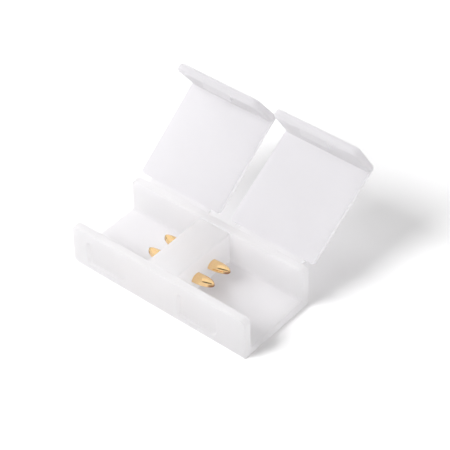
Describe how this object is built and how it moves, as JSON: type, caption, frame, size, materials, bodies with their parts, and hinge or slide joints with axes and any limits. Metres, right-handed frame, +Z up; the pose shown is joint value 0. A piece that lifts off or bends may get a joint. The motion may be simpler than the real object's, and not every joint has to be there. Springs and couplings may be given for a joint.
{
  "type": "led strip connector",
  "caption": "Translucent snap connector for LED strips: an open-ended tray with a middle block, gold contact leaves through it, and two hinged lids shown open.",
  "frame": {"origin": "centre of the tray's underside, on the surface that it stands on", "axes": "+X along the strips, from the left bay to the right bay; +Y from the front wall to the hinge wall; +Z up"},
  "size_m": [0.0232, 0.0212, 0.0159],
  "materials": {
    "housing": "milky translucent polypropylene, satin",
    "contact": "gold plated, polished"
  },
  "bodies": {
    "base": {"tray": "housing", "left_hinge_web": "housing", "right_hinge_web": "housing", "front_contact": "contact", "back_contact": "contact"},
    "left_cover": {"left_lid": "housing"},
    "right_cover": {"right_lid": "housing"}
  },
  "joints": [
    {"name": "left_lid_hinge", "type": "hinge", "parent": "base", "child": "left_cover", "pos_m": [-0.0062, 0.00575, 0.00508], "axis": [-1, 0, 0], "range_deg": [-142.4, 37.6], "deforming": ["left_hinge_web"]},
    {"name": "right_lid_hinge", "type": "hinge", "parent": "base", "child": "right_cover", "pos_m": [0.0062, 0.00575, 0.00508], "axis": [-1, 0, 0], "range_deg": [-146.8, 33.2], "deforming": ["right_hinge_web"]}
  ]
}
